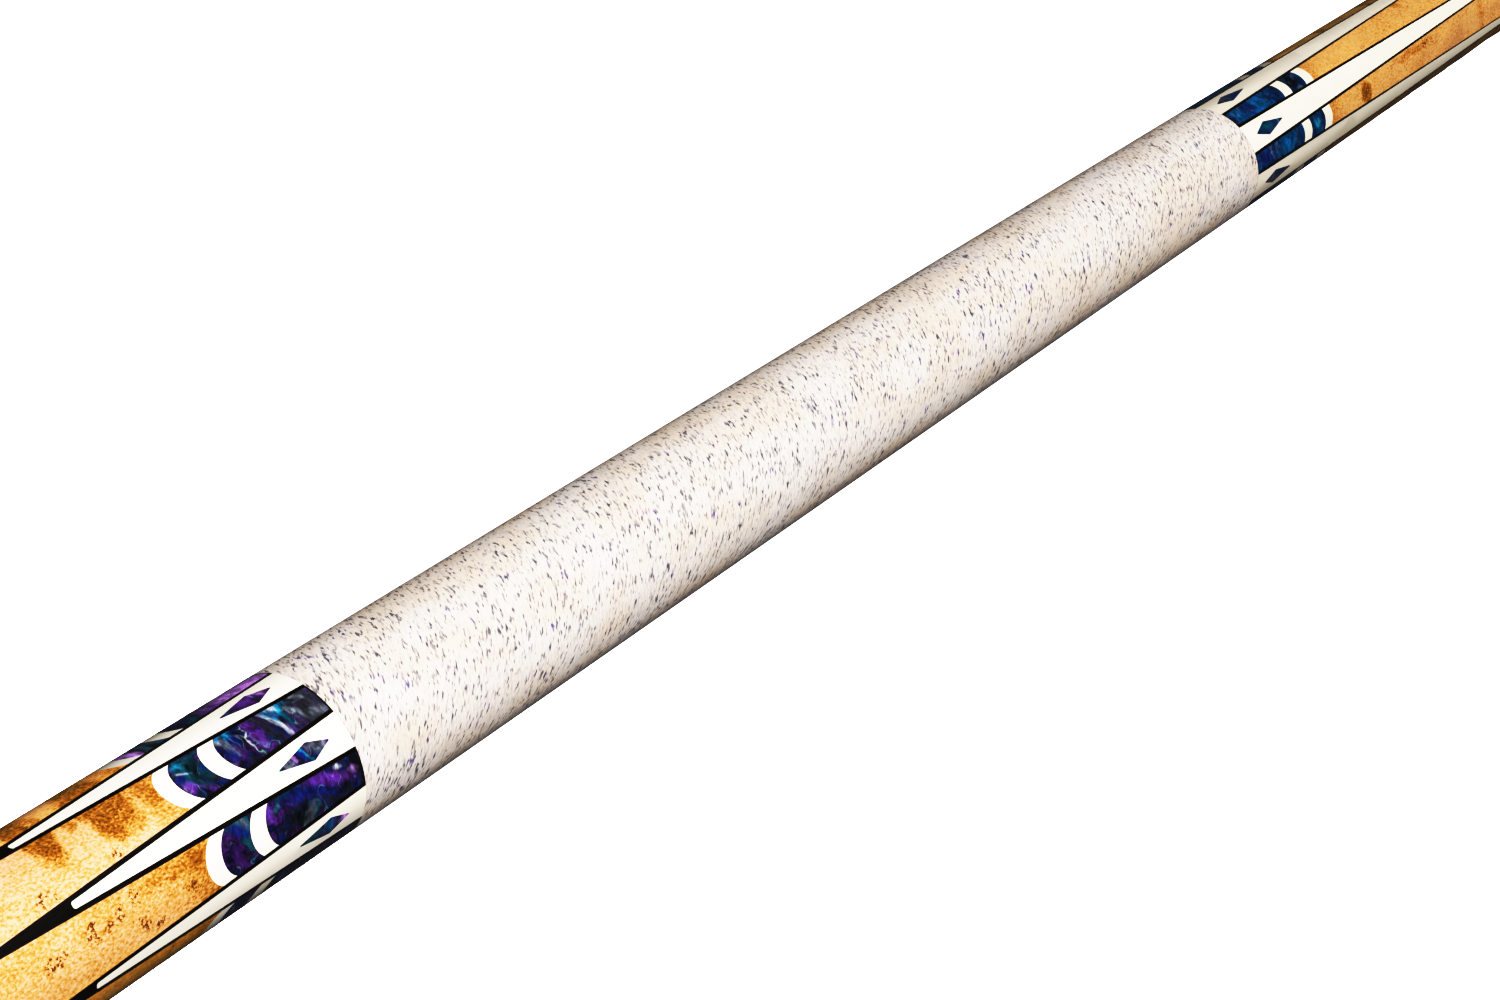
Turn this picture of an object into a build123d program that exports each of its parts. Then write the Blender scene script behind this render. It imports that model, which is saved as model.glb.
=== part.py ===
from build123d import *
import math
import os

# A two-piece pool cue, in millimetres. It lies along X with its tip towards +X. The origin is on
# the axis at the joint face, where the butt and the shaft meet, half way along the cue.

# ---------------------------------------------------------------- driving dimensions
BUTT_LENGTH = 736.6
SHAFT_LENGTH = 736.6
BUTT_END_RADIUS = 15.9
JOINT_RADIUS = 10.825

# Lengths of the butt's sections, counted from the bumper's end. The forearm takes the rest.
BUMPER_LENGTH = 9.5
CAP_LENGTH = 22.5
METAL_RING_WIDTH = 1.0
PEARL_RING_WIDTH = 3.0
SLEEVE_LENGTH = 95.0
WRAP_LENGTH = 299.0
JOINT_COLLAR_LENGTH = 22.0

# Bumper, its plug and the bore that the plug and the weight bolt go through.
BUMPER_RADIUS = 14.4
BUMPER_EDGE = 3.5
PLUG_RADIUS = 6.42
PLUG_LENGTH = 12.0
PLUG_CHAMFER = 0.8
END_BORE_RADIUS = 6.5
CAP_EDGE = 1.0

# Weight bolt: a socket head cap screw of 3/8 inch.
BOLT_RADIUS = 4.7625
BOLT_LENGTH = 60.0
BOLT_HEAD_RADIUS = 6.3
BOLT_HEAD_LENGTH = 10.0
BOLT_SOCKET_FLATS = 8.0
BOLT_SOCKET_DEPTH = 6.0
BOLT_HEAD_SETBACK = 14.5
BOLT_HOLE_SPARE = 3.0

# Tenons that join the butt's wooden pieces.
CAP_TENON_RADIUS = 9.5
CAP_TENON_LENGTH = 18.0
HANDLE_TENON_RADIUS = 8.5
REAR_TENON_LENGTH = 30.0
FRONT_TENON_LENGTH = 20.0
COLLAR_TENON_RADIUS = 7.5
STUD_RADIUS = 4.0
STUD_IN_HANDLE = 20.0
STUD_IN_FOREARM = 45.0
WRAP_THICKNESS = 0.9

# Joint screw: 3/8 inch, ten threads to the inch, right-handed, with a flat crest and root.
THREAD_PITCH = 2.54
THREAD_RADIUS = 4.7625
THREAD_DEPTH = 1.25
THREAD_ROOT_WIDTH = 1.9
THREAD_CREST_WIDTH = 0.6
THREAD_START = 2.0
THREAD_TURNS = 9.5
THREAD_BURIED = 0.1
THREAD_CLEARANCE = 0.15
PIN_BURIED_LENGTH = 38.0
PIN_LENGTH = 29.0
PIN_NOSE = 1.2

# Shaft.
SHAFT_COLLAR_LENGTH = 12.7
SHAFT_TENON_RADIUS = 8.5
INSERT_RADIUS = 6.5
INSERT_SETBACK = 0.3
INSERT_LENGTH = 33.0
PIN_WELL_RADIUS = 5.2
PIN_WELL_DEPTH = 38.0
LOOSE_RING_GAP = 0.04
SHAFT_COLLAR_TAPER = 0.0056
TAPER_BASE_PULL = (200.0, 8.4)
TAPER_TIP_PULL_X = 330.0
FERRULE_RADIUS = 6.45
FERRULE_LENGTH = 25.4
FERRULE_BORE_RADIUS = 4.0
FERRULE_BORE_DEPTH = 20.0
PAD_THICKNESS = 1.0
TIP_HEIGHT = 5.0
TIP_DOME_RADIUS = 10.6

# Inlays, the same on the butt sleeve and the forearm. Every length along the cue is counted from
# the wrap's edge, and every half width is a chord.
REPEATS = 7
FIRST_SPEAR_TURN = 41.0
INLAY_DEPTH = 1.6
INLAY_OVERSHOOT = 2.0
CLOSING_LINE = 0.35
CROWN_RADIUS = 4.7
LARGE_WINDOW_CROWN = 22.3
INNER_CRESCENT_CROWN = 25.8
SMALL_WINDOW_CROWN = 32.3
OUTER_CRESCENT_CROWN = 35.7
DIAMOND_NEAR = 3.8
DIAMOND_WIDEST = 8.4
DIAMOND_FAR = 16.2
DIAMOND_HALF_WIDTH = 1.65
DIAMOND_TIP_ROUND = 0.15

# Each entry: half width at the wrap, half width at the knee, knee, and length to the tip.
SLEEVE_POINT = (3.93, 1.68, 55.0, 92.0)
FOREARM_POINT = (3.87, 1.85, 105.0, 205.0)
# Each entry: half width at the wrap, half width at the blunt tip, and length to the tip.
SLEEVE_SPEAR = (3.2, 0.6, 60.4)
FOREARM_SPEAR = (3.2, 0.5, 160.0)
SPEAR_TIP_ROUND = 0.45

# ---------------------------------------------------------------- derived places along X
BUTT_TAPER = (BUTT_END_RADIUS - JOINT_RADIUS) / BUTT_LENGTH
RING_SET_WIDTH = 2 * METAL_RING_WIDTH + PEARL_RING_WIDTH
X_END = -BUTT_LENGTH
X_CAP = X_END + BUMPER_LENGTH
X_CAP_RINGS = X_CAP + CAP_LENGTH
X_SLEEVE = X_CAP_RINGS + RING_SET_WIDTH
X_WRAP_REAR = X_SLEEVE + SLEEVE_LENGTH
X_WRAP_FRONT = X_WRAP_REAR + WRAP_LENGTH
X_JOINT_COLLAR = -JOINT_COLLAR_LENGTH
X_JOINT_RINGS = X_JOINT_COLLAR - RING_SET_WIDTH
X_SHAFT_RINGS = SHAFT_COLLAR_LENGTH
X_SHAFT_WOOD = X_SHAFT_RINGS + RING_SET_WIDTH
X_TIP_TOP = SHAFT_LENGTH
X_TIP = X_TIP_TOP - TIP_HEIGHT
X_PAD = X_TIP - PAD_THICKNESS
X_FERRULE = X_PAD - FERRULE_LENGTH
X_BOLT_HEAD = X_CAP + BOLT_HEAD_SETBACK
X_BOLT_SHANK = X_BOLT_HEAD + BOLT_HEAD_LENGTH
X_CAP_TENON = X_SLEEVE - CAP_TENON_LENGTH
WINDOW_TURN = 180 / REPEATS


def butt_radius(x):
    """Outer radius of the butt's straight taper at x."""
    return JOINT_RADIUS - BUTT_TAPER * x


def shaft_base_radius(x):
    """Outer radius of the shaft's collar and rings at x."""
    return JOINT_RADIUS - SHAFT_COLLAR_TAPER * x


def save(part, name):
    """Labels a finished piece and writes it to its own file."""
    part.label = name
    export_step(part, f"parts/{name}.step")


def turned(outline):
    """A solid of revolution about X from a closed outline of (x, radius) points."""
    with BuildPart() as piece:
        with BuildSketch(Plane.XY):
            with BuildLine():
                Polyline(*outline, close=True)
            make_face()
        revolve(axis=Axis.X)
    return piece.part


def band(x_rear, x_front, outer_radius, bore_radius, bore_front=None):
    """A ring between two places whose outside follows outer_radius(x)."""
    return turned([
        (x_rear, bore_radius),
        (x_rear, outer_radius(x_rear)),
        (x_front, outer_radius(x_front)),
        (x_front, bore_front or bore_radius),
    ])


def inlay_plane(wrap_edge, outward, turn):
    """Plane on the axis that faces the radial direction `turn` degrees up from the -Y side.

    Its x runs along the cue away from the wrap.
    """
    angle = math.radians(turn)
    radial = (0, -math.cos(angle), math.sin(angle))
    return Plane(origin=(wrap_edge, 0, 0), x_dir=(outward, 0, 0), z_dir=radial)


def skin(wrap_edge, outward, length):
    """The outer layer, as thick as an inlay, along a stretch beside the wrap."""
    x_rear, x_front = sorted((wrap_edge, wrap_edge + outward * length))
    return band(
        x_rear,
        x_front,
        butt_radius,
        butt_radius(x_rear) - INLAY_DEPTH,
        butt_radius(x_front) - INLAY_DEPTH,
    )


def raised(outline, plane, layer):
    """The stretch of the layer that lies over an outline drawn on an inlay plane."""
    with BuildPart() as piece:
        with BuildSketch(plane):
            add(outline)
        extrude(amount=butt_radius(plane.origin.X) + INLAY_OVERSHOOT)
        add(layer, mode=Mode.INTERSECT)
    return piece.part


def point_outline(shape):
    """Sharp black point, wide at the wrap, with slightly bowed sides."""
    base, knee_width, knee, length = shape
    with BuildSketch() as outline:
        with BuildLine():
            Polyline((0, -base), (knee, -knee_width), (length, 0), (knee, knee_width), (0, base), close=True)
        make_face()
    return outline.sketch


def spear_outline(shape):
    """Straight-sided white spear with a blunt, rounded tip."""
    base, tip_width, length = shape
    with BuildSketch() as outline:
        with BuildLine():
            Polyline((0, -base), (length, -tip_width), (length, tip_width), (0, base), close=True)
        make_face()
        fillet(outline.vertices().group_by(Axis.X)[-1], radius=SPEAR_TIP_ROUND)
    return outline.sketch


def diamond_outline():
    """Kite with its long tail away from the wrap and slightly rounded ends."""
    with BuildSketch() as outline:
        with BuildLine():
            Polyline(
                (DIAMOND_NEAR, 0),
                (DIAMOND_WIDEST, -DIAMOND_HALF_WIDTH),
                (DIAMOND_FAR, 0),
                (DIAMOND_WIDEST, DIAMOND_HALF_WIDTH),
                close=True,
            )
        make_face()
        fillet(outline.vertices(), radius=DIAMOND_TIP_ROUND)
    return outline.sketch


def tongue_outline(crown, start=0.0):
    """Strip between two points that ends in a round crown, less all of it up to the start."""
    with BuildSketch() as outline:
        with Locations(((crown - CROWN_RADIUS) / 2, 0)):
            Rectangle(crown - CROWN_RADIUS, 2 * CROWN_RADIUS)
        with Locations((crown - CROWN_RADIUS, 0)):
            Circle(CROWN_RADIUS)
        if start > CLOSING_LINE:
            with Locations(((start - CROWN_RADIUS) / 2, 0)):
                Rectangle(start - CROWN_RADIUS, 2 * CROWN_RADIUS, mode=Mode.SUBTRACT)
            with Locations((start - CROWN_RADIUS, 0)):
                Circle(CROWN_RADIUS, mode=Mode.SUBTRACT)
        else:
            with Locations((start / 2, 0)):
                Rectangle(start, 2 * CROWN_RADIUS, mode=Mode.SUBTRACT)
    return outline.sketch


def joined(pieces, cutters=()):
    """One part of several solids, less the cutters."""
    with BuildPart() as group:
        for piece in pieces:
            add(piece)
        for cutter in cutters:
            add(cutter, mode=Mode.SUBTRACT)
    return group.part


def inlay_set(owner, wrap_edge, outward, point_shape, spear_shape):
    """Writes the inlays beside one edge of the wrap and returns the pocket that they fill."""
    layer = skin(wrap_edge, outward, point_shape[3] + INLAY_OVERSHOOT)
    edge_layer = skin(wrap_edge, outward, CLOSING_LINE)
    spear_planes = [
        inlay_plane(wrap_edge, outward, FIRST_SPEAR_TURN + 360 * i / REPEATS) for i in range(REPEATS)
    ]
    window_planes = [
        inlay_plane(wrap_edge, outward, FIRST_SPEAR_TURN + WINDOW_TURN + 360 * i / REPEATS)
        for i in range(REPEATS)
    ]
    points = [raised(point_outline(point_shape), plane, layer) for plane in spear_planes]
    spears = [raised(spear_outline(spear_shape), plane, layer) for plane in spear_planes]
    diamonds = [raised(diamond_outline(), plane, layer) for plane in spear_planes]
    save(joined([edge_layer, *points], spears), f"{owner}_black_points")
    save(joined(spears, diamonds), f"{owner}_white_spears")
    save(joined(diamonds), f"{owner}_diamonds")

    windows = {
        "large_windows": (CLOSING_LINE, LARGE_WINDOW_CROWN),
        "inner_crescents": (LARGE_WINDOW_CROWN, INNER_CRESCENT_CROWN),
        "small_windows": (INNER_CRESCENT_CROWN, SMALL_WINDOW_CROWN),
        "outer_crescents": (SMALL_WINDOW_CROWN, OUTER_CRESCENT_CROWN),
    }
    for name, (start, crown) in windows.items():
        strips = [raised(tongue_outline(crown, start), plane, layer) for plane in window_planes]
        save(joined(strips, points), f"{owner}_{name}")

    tongues = [raised(tongue_outline(OUTER_CRESCENT_CROWN), plane, layer) for plane in window_planes]
    return joined(points + tongues)


def ring_set(owner, x_start, outer_radius, bore_radius):
    """Writes a metal ring, a pearl ring and another metal ring, from the rear forwards."""
    x = x_start
    for name, width in (
        ("ring_rear", METAL_RING_WIDTH),
        ("ring_pearl", PEARL_RING_WIDTH),
        ("ring_front", METAL_RING_WIDTH),
    ):
        save(band(x, x + width, outer_radius, bore_radius), f"{owner}_{name}")
        x += width


def thread_ridge(start, turns, clearance):
    """Helical ridge about X, grown all round by the clearance when it is used as a tap."""
    foot_radius = THREAD_RADIUS - THREAD_DEPTH + clearance
    root_half = THREAD_ROOT_WIDTH / 2 + clearance
    crest_half = THREAD_CREST_WIDTH / 2 + clearance
    with BuildPart() as ridge:
        with BuildLine() as path:
            Helix(
                pitch=THREAD_PITCH,
                height=THREAD_PITCH * turns,
                radius=foot_radius,
                center=(start, 0, 0),
                direction=(1, 0, 0),
            )
        foot = path.line @ 0
        with BuildSketch(Plane(origin=foot, x_dir=(0, foot.Y, foot.Z), z_dir=path.line % 0)):
            with BuildLine():
                Polyline(
                    (-THREAD_BURIED, -root_half),
                    (THREAD_DEPTH, -crest_half),
                    (THREAD_DEPTH, crest_half),
                    (-THREAD_BURIED, root_half),
                    close=True,
                )
            make_face()
        sweep(path=path.line, is_frenet=True)
    return ridge.part


os.makedirs("parts", exist_ok=True)

# ---------------------------------------------------------------- butt, from the rear forwards
# Rubber bumper: a rounded foot with a plug that pushes into the cap's bore.
with BuildPart() as bumper:
    with BuildSketch(Plane.YZ.offset(X_END)):
        Circle(BUMPER_RADIUS)
    extrude(amount=BUMPER_LENGTH)
    fillet(bumper.edges().group_by(Axis.X)[0], radius=BUMPER_EDGE)
    with BuildSketch(Plane.YZ.offset(X_CAP)):
        Circle(PLUG_RADIUS)
    extrude(amount=PLUG_LENGTH)
    chamfer(bumper.edges().group_by(Axis.X)[-1], length=PLUG_CHAMFER)
save(bumper.part, "bumper")

# Weight bolt: its head stands in the end bore, and its shank is screwed into the sleeve.
with BuildPart() as weight_bolt:
    with BuildSketch(Plane.YZ.offset(X_BOLT_HEAD)):
        Circle(BOLT_HEAD_RADIUS)
    extrude(amount=BOLT_HEAD_LENGTH)
    chamfer(weight_bolt.edges().group_by(Axis.X)[0], length=PLUG_CHAMFER)
    with BuildSketch(Plane.YZ.offset(X_BOLT_HEAD)):
        RegularPolygon(BOLT_SOCKET_FLATS / 2, 6, major_radius=False)
    extrude(amount=BOLT_SOCKET_DEPTH, mode=Mode.SUBTRACT)
    with BuildSketch(Plane.YZ.offset(X_BOLT_SHANK)):
        Circle(BOLT_RADIUS)
    extrude(amount=BOLT_LENGTH)
    chamfer(weight_bolt.edges().group_by(Axis.X)[-1], length=PLUG_CHAMFER)
save(weight_bolt.part, "weight_bolt")

# Butt cap: a narrow bore for the bumper's plug, then a socket for the sleeve's tenon.
with BuildPart() as butt_cap:
    add(band(X_CAP, X_CAP_RINGS, butt_radius, CAP_TENON_RADIUS))
    with BuildSketch(Plane.YZ.offset(X_CAP)):
        Circle(CAP_TENON_RADIUS)
        Circle(END_BORE_RADIUS, mode=Mode.SUBTRACT)
    extrude(amount=X_CAP_TENON - X_CAP)
    fillet(butt_cap.edges().group_by(Axis.X)[0].sort_by(SortBy.RADIUS)[-1], radius=CAP_EDGE)
save(butt_cap.part, "butt_cap")

ring_set("butt", X_CAP_RINGS, butt_radius, CAP_TENON_RADIUS)

# Butt sleeve: tapered outside, with its tenon in the cap, the bolt's hole and the handle's socket.
sleeve_blank = turned([
    (X_CAP_TENON, END_BORE_RADIUS),
    (X_CAP_TENON, CAP_TENON_RADIUS),
    (X_SLEEVE, CAP_TENON_RADIUS),
    (X_SLEEVE, butt_radius(X_SLEEVE)),
    (X_WRAP_REAR, butt_radius(X_WRAP_REAR)),
    (X_WRAP_REAR, HANDLE_TENON_RADIUS),
    (X_WRAP_REAR - REAR_TENON_LENGTH, HANDLE_TENON_RADIUS),
    (X_WRAP_REAR - REAR_TENON_LENGTH, 0),
    (X_BOLT_SHANK + BOLT_LENGTH + BOLT_HOLE_SPARE, 0),
    (X_BOLT_SHANK + BOLT_LENGTH + BOLT_HOLE_SPARE, BOLT_RADIUS),
    (X_BOLT_SHANK, BOLT_RADIUS),
    (X_BOLT_SHANK, END_BORE_RADIUS),
])
sleeve_pocket = inlay_set("sleeve", X_WRAP_REAR, -1, SLEEVE_POINT, SLEEVE_SPEAR)
save(joined([sleeve_blank], [sleeve_pocket]), "butt_sleeve")

# Handle core: a dowel under the wrap with a tenon at each end.
with BuildPart() as handle_core:
    with BuildSketch(Plane.XY):
        with BuildLine():
            Polyline(
                (X_WRAP_REAR - REAR_TENON_LENGTH, 0),
                (X_WRAP_REAR - REAR_TENON_LENGTH, HANDLE_TENON_RADIUS),
                (X_WRAP_REAR, HANDLE_TENON_RADIUS),
                (X_WRAP_REAR, butt_radius(X_WRAP_REAR) - WRAP_THICKNESS),
                (X_WRAP_FRONT, butt_radius(X_WRAP_FRONT) - WRAP_THICKNESS),
                (X_WRAP_FRONT, HANDLE_TENON_RADIUS),
                (X_WRAP_FRONT + FRONT_TENON_LENGTH, HANDLE_TENON_RADIUS),
                (X_WRAP_FRONT + FRONT_TENON_LENGTH, 0),
                close=True,
            )
        make_face()
    revolve(axis=Axis.X)
    with BuildSketch(Plane.YZ.offset(X_WRAP_FRONT - STUD_IN_HANDLE)):
        Circle(STUD_RADIUS)
    extrude(amount=STUD_IN_HANDLE + FRONT_TENON_LENGTH, mode=Mode.SUBTRACT)
save(handle_core.part, "handle_core")

# Linen wrap: a thin sleeve of wound thread, flush with the wood at both edges.
linen_wrap = band(
    X_WRAP_REAR,
    X_WRAP_FRONT,
    butt_radius,
    butt_radius(X_WRAP_REAR) - WRAP_THICKNESS,
    butt_radius(X_WRAP_FRONT) - WRAP_THICKNESS,
)
save(linen_wrap, "linen_wrap")

# Stud that pulls the forearm and the handle together.
with BuildPart() as forearm_stud:
    with BuildSketch(Plane.YZ.offset(X_WRAP_FRONT - STUD_IN_HANDLE)):
        Circle(STUD_RADIUS)
    extrude(amount=STUD_IN_HANDLE + STUD_IN_FOREARM)
save(forearm_stud.part, "forearm_stud")

# Forearm: a socket for the handle's tenon and the stud, and a tenon through the rings and collar.
forearm_blank = turned([
    (X_WRAP_FRONT, HANDLE_TENON_RADIUS),
    (X_WRAP_FRONT, butt_radius(X_WRAP_FRONT)),
    (X_JOINT_RINGS, butt_radius(X_JOINT_RINGS)),
    (X_JOINT_RINGS, COLLAR_TENON_RADIUS),
    (0, COLLAR_TENON_RADIUS),
    (0, THREAD_RADIUS),
    (-PIN_BURIED_LENGTH, THREAD_RADIUS),
    (-PIN_BURIED_LENGTH, 0),
    (X_WRAP_FRONT + STUD_IN_FOREARM, 0),
    (X_WRAP_FRONT + STUD_IN_FOREARM, STUD_RADIUS),
    (X_WRAP_FRONT + FRONT_TENON_LENGTH, STUD_RADIUS),
    (X_WRAP_FRONT + FRONT_TENON_LENGTH, HANDLE_TENON_RADIUS),
])
forearm_pocket = inlay_set("forearm", X_WRAP_FRONT, 1, FOREARM_POINT, FOREARM_SPEAR)
save(joined([forearm_blank], [forearm_pocket]), "forearm")

ring_set("joint", X_JOINT_RINGS, butt_radius, COLLAR_TENON_RADIUS)
save(band(X_JOINT_COLLAR, 0, butt_radius, COLLAR_TENON_RADIUS), "joint_collar")

# Joint pin: plain where it is buried in the forearm, threaded where it stands out.
with BuildPart() as joint_pin:
    with BuildSketch(Plane.YZ.offset(-PIN_BURIED_LENGTH)):
        Circle(THREAD_RADIUS)
    extrude(amount=PIN_BURIED_LENGTH)
    with BuildSketch(Plane.YZ):
        Circle(THREAD_RADIUS - THREAD_DEPTH)
    extrude(amount=PIN_LENGTH)
    chamfer(joint_pin.edges().group_by(Axis.X)[-1], length=PIN_NOSE)
    add(thread_ridge(THREAD_START, THREAD_TURNS, 0))
save(joint_pin.part, "joint_pin")

# ---------------------------------------------------------------- shaft, from the joint forwards
save(band(0, X_SHAFT_RINGS, shaft_base_radius, SHAFT_TENON_RADIUS), "shaft_collar")

# The rear ring turns freely on the tenon, so it has a gap at its bore and at both sides.
loose_ring = band(
    X_SHAFT_RINGS + LOOSE_RING_GAP,
    X_SHAFT_RINGS + METAL_RING_WIDTH - LOOSE_RING_GAP,
    shaft_base_radius,
    SHAFT_TENON_RADIUS + LOOSE_RING_GAP,
)
save(loose_ring, "shaft_ring_rear")
x_pearl = X_SHAFT_RINGS + METAL_RING_WIDTH
x_front = x_pearl + PEARL_RING_WIDTH
save(band(x_pearl, x_front, shaft_base_radius, SHAFT_TENON_RADIUS), "shaft_ring_pearl")
save(band(x_front, X_SHAFT_WOOD, shaft_base_radius, SHAFT_TENON_RADIUS), "shaft_ring_front")

# Brass insert: tapped right through with the pin's own helix, grown by the clearance.
tap_start = THREAD_START - 2 * THREAD_PITCH
tap_turns = math.ceil((INSERT_LENGTH - tap_start) / THREAD_PITCH) + 1
with BuildPart() as tap:
    with BuildSketch(Plane.YZ.offset(tap_start - THREAD_PITCH)):
        Circle(THREAD_RADIUS - THREAD_DEPTH + THREAD_CLEARANCE)
    extrude(amount=(tap_turns + 2) * THREAD_PITCH)
    add(thread_ridge(tap_start, tap_turns, THREAD_CLEARANCE))
with BuildPart() as shaft_insert:
    with BuildSketch(Plane.YZ.offset(INSERT_SETBACK)):
        Circle(INSERT_RADIUS)
    extrude(amount=INSERT_LENGTH - INSERT_SETBACK)
    add(tap.part, mode=Mode.SUBTRACT)
save(shaft_insert.part, "shaft_insert")

# Shaft: a long hollow-sided taper from the rings to the ferrule, with a tenon at each end.
with BuildPart() as shaft:
    with BuildSketch(Plane.XY):
        with BuildLine():
            taper = Bezier(
                (X_SHAFT_WOOD, shaft_base_radius(X_SHAFT_WOOD)),
                TAPER_BASE_PULL,
                (TAPER_TIP_PULL_X, FERRULE_RADIUS),
                (X_FERRULE, FERRULE_RADIUS),
            )
            Polyline(
                taper @ 1,
                (X_FERRULE, FERRULE_BORE_RADIUS),
                (X_FERRULE + FERRULE_BORE_DEPTH, FERRULE_BORE_RADIUS),
                (X_FERRULE + FERRULE_BORE_DEPTH, 0),
                (PIN_WELL_DEPTH, 0),
                (PIN_WELL_DEPTH, PIN_WELL_RADIUS),
                (INSERT_LENGTH, PIN_WELL_RADIUS),
                (INSERT_LENGTH, INSERT_RADIUS),
                (INSERT_SETBACK, INSERT_RADIUS),
                (INSERT_SETBACK, SHAFT_TENON_RADIUS),
                (X_SHAFT_WOOD, SHAFT_TENON_RADIUS),
                taper @ 0,
            )
        make_face()
    revolve(axis=Axis.X)
save(shaft.part, "shaft")

# Ferrule: a capped sleeve over the shaft's front tenon.
with BuildPart() as ferrule:
    with BuildSketch(Plane.YZ.offset(X_FERRULE)):
        Circle(FERRULE_RADIUS)
    extrude(amount=FERRULE_LENGTH)
    with BuildSketch(Plane.YZ.offset(X_FERRULE)):
        Circle(FERRULE_BORE_RADIUS)
    extrude(amount=FERRULE_BORE_DEPTH, mode=Mode.SUBTRACT)
save(ferrule.part, "ferrule")

save(turned([(X_PAD, 0), (X_PAD, FERRULE_RADIUS), (X_TIP, FERRULE_RADIUS), (X_TIP, 0)]), "tip_pad")

# Leather tip: a short cylinder under a dome.
dome_height = TIP_DOME_RADIUS - math.sqrt(TIP_DOME_RADIUS**2 - FERRULE_RADIUS**2)
with BuildPart() as tip:
    with BuildSketch(Plane.XY):
        with BuildLine():
            dome = RadiusArc((X_TIP_TOP - dome_height, FERRULE_RADIUS), (X_TIP_TOP, 0), TIP_DOME_RADIUS)
            Polyline(dome @ 1, (X_TIP, 0), (X_TIP, FERRULE_RADIUS), dome @ 0)
        make_face()
    revolve(axis=Axis.X)
save(tip.part, "tip")
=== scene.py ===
"""A pool cue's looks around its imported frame: metres, +X from the bumper to the tip, +Z up."""

import math

import bmesh
import bpy
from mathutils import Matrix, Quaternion, Vector


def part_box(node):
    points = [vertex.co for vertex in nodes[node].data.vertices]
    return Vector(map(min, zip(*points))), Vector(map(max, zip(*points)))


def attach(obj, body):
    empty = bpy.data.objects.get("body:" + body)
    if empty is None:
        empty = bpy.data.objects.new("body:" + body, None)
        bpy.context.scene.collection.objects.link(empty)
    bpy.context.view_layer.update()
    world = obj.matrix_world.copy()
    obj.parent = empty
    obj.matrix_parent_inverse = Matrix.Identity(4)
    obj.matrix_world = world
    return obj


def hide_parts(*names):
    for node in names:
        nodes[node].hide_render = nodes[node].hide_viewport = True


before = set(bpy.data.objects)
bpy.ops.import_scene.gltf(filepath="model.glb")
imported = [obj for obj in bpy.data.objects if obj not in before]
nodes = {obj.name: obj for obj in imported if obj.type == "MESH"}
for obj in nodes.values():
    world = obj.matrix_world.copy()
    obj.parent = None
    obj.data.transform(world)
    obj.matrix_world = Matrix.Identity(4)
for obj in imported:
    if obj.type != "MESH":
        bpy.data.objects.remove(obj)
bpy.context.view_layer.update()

# ---------------------------------------------------------------- places, from the frame
MM = 0.001
WRAP_LOW, WRAP_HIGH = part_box("linen_wrap")
CAP_LOW, CAP_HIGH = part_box("butt_cap")
BUMPER_LOW, BUMPER_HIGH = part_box("bumper")
TIP_LOW, TIP_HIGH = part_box("tip")
REAR_EDGE, FRONT_EDGE = WRAP_LOW.x, WRAP_HIGH.x
TAU = 2 * math.pi

# Arc of one degree about the cue just behind the wrap, in mm.
MM_PER_DEGREE = 0.265

# The linen thread: its pitch, the groove between two turns, the rows of points in a turn, its turns
# beyond those that the wrap's length needs, how many lie behind the wrap, and its twist in degrees.
THREAD_PITCH = 0.9 * MM
THREAD_GROOVE = 0.05 * MM
THREAD_LANES = 3
SPARE_TURNS = 2
TURNS_BEHIND = 1.5
THREAD_TWIST = 36

# The wrap's mean radius in mm, and how far apart in the noise two neighbouring turns of thread lie.
MEAN_WRAP_RADIUS = 14.0
THREAD_SHIFT = 3.7

# The bumper's foot: rounded edges, the dimple in its middle, and the moulded ring groove.
FOOT_EDGE = 3.5 * MM
SEAT_EDGE = 0.6 * MM
DIMPLE_DEPTH = 2.0 * MM
DIMPLE_RIM = ((0.3 * MM, 3.0 * MM), (0.0, 3.6 * MM), (0.0, 6.6 * MM))
RING_GROOVE = 0.8 * MM
RING_GROOVE_RADIUS = 7.4 * MM
RING_LAND_RADIUS = 8.4 * MM

# The bumper's plug: its radius and chamfer, and the place, spacing and shape of the grooves that leave
# ribs between them.
PLUG_RADIUS = 6.42 * MM
PLUG_CHAMFER = 0.8 * MM
PLUG_GROOVES = 4
FIRST_GROOVE = 1.5 * MM
GROOVE_SPACING = 2.4 * MM
GROOVE_DEPTH = 0.35 * MM
GROOVE_STEPS = (0.5 * MM, 1.2 * MM, 1.7 * MM)

# The tip: the ball that its dome is part of, its pressed layers, and the seams between them.
TIP_BALL = 10.6 * MM
TIP_LAYERS = 5
SEAM_REACH = 0.08 * MM
SEAM_DEPTH = 0.06 * MM

# Meshes: points around the wrap and the turned pieces, the angle in degrees that stays a sharp edge,
# and the distance in which two points are one.
WRAP_SEGMENTS = 96
LATHE_SEGMENTS = 128
SHARP_ANGLE = 40
SAME_PLACE = 1e-7

# A clear gloss coat over wood, inlays and phenolic.
CLEAR_COAT = {"Coat_Weight": 1.0, "Coat_Roughness": 0.04, "Coat_IOR": 1.5}

# Strength of the surroundings as light on the cue, and the strength that shows as plain white.
SURROUND = 0.04
WHITE_STRENGTH = 2.0

# The floor: half its side in metres, and its grey.
FLOOR_REACH = 20.0
FLOOR_GREY = 0.25

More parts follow.
